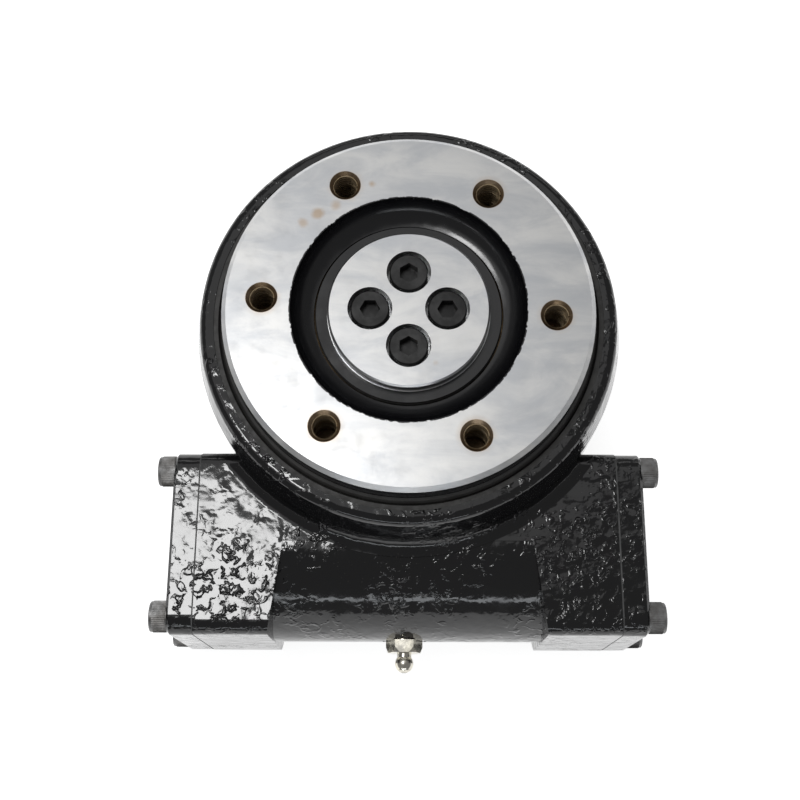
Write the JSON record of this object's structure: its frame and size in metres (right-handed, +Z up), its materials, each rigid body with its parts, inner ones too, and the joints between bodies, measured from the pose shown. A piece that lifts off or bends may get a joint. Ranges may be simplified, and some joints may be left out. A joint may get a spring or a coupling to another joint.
{
  "type": "slew drive",
  "caption": "Enclosed worm slew drive for a solar tracker: a toothed output ring with tapped holes turns on ball rows in a cast housing.",
  "frame": {"origin": "centre of the base mounting face, on the slewing axis", "axes": "+Z up along the slewing axis through the output face, X along the worm with +X at the drive end, -Y towards the worm box"},
  "size_m": [0.171, 0.1861, 0.092],
  "materials": {
    "painted_casting": "gloss black enamel over a sand casting",
    "machined_steel": "bright machined",
    "black_rubber": "matt",
    "black_screws": "black oxide",
    "zinc_screws": "dull zinc plate",
    "plated_steel": "bright plated",
    "bronze": "turned",
    "gasket_sheet": "fibre sheet",
    "nylon": "natural",
    "bearing_steel": "ground"
  },
  "bodies": {
    "housing": {"housing_casting": "painted_casting", "hub_cap": "machined_steel", "hub_screws": "black_screws", "outer_seal": "black_rubber", "inner_seal": "black_rubber", "filling_plug": "zinc_screws", "grease_nipple": "plated_steel", "end_cap_drive": "painted_casting", "end_cap_blind": "painted_casting", "shaft_seal": "black_rubber", "bearing_cup_drive": "bearing_steel", "bearing_cup_blind": "bearing_steel", "gasket_drive": "gasket_sheet", "gasket_blind": "gasket_sheet", "cap_screws_drive": "zinc_screws", "cap_screws_blind": "zinc_screws"},
    "ring": {"output_ring": "machined_steel", "thrust_washer": "bronze"},
    "upper_row": {"upper_balls": "bearing_steel", "upper_spacers": "nylon"},
    "lower_row": {"lower_balls": "bearing_steel", "lower_spacers": "nylon"},
    "worm": {"worm_shaft": "bearing_steel", "bearing_cone_drive": "bearing_steel", "bearing_cone_blind": "bearing_steel"},
    "rollers_drive_set": {"rollers_drive": "bearing_steel", "roller_cage_drive": "bearing_steel"},
    "rollers_blind_set": {"rollers_blind": "bearing_steel", "roller_cage_blind": "bearing_steel"}
  },
  "joints": [
    {"name": "ring_slew", "type": "hinge", "parent": "housing", "child": "ring", "pos_m": [0, 0, 0.06], "axis": [0, 0, 1], "continuous": true},
    {"name": "worm_spin", "type": "hinge", "parent": "housing", "child": "worm", "pos_m": [0, -0.0725, 0.0315], "axis": [1, 0, 0], "continuous": true},
    {"name": "upper_row_orbit", "type": "hinge", "parent": "housing", "child": "upper_row", "pos_m": [0, 0, 0.066], "axis": [0, 0, 1], "continuous": true},
    {"name": "lower_row_orbit", "type": "hinge", "parent": "housing", "child": "lower_row", "pos_m": [0, 0, 0.0165], "axis": [0, 0, 1], "continuous": true},
    {"name": "drive_rollers_orbit", "type": "hinge", "parent": "housing", "child": "rollers_drive_set", "pos_m": [0.0575, -0.0725, 0.0315], "axis": [1, 0, 0], "continuous": true},
    {"name": "blind_rollers_orbit", "type": "hinge", "parent": "housing", "child": "rollers_blind_set", "pos_m": [-0.0575, -0.0725, 0.0315], "axis": [1, 0, 0], "continuous": true}
  ],
  "couplings": [
    {"joint": "worm_spin", "follows": "ring_slew", "ratio": -31},
    {"joint": "upper_row_orbit", "follows": "ring_slew", "ratio": 0.5},
    {"joint": "lower_row_orbit", "follows": "ring_slew", "ratio": 0.5},
    {"joint": "drive_rollers_orbit", "follows": "ring_slew", "ratio": -13.034},
    {"joint": "blind_rollers_orbit", "follows": "ring_slew", "ratio": -13.034}
  ]
}
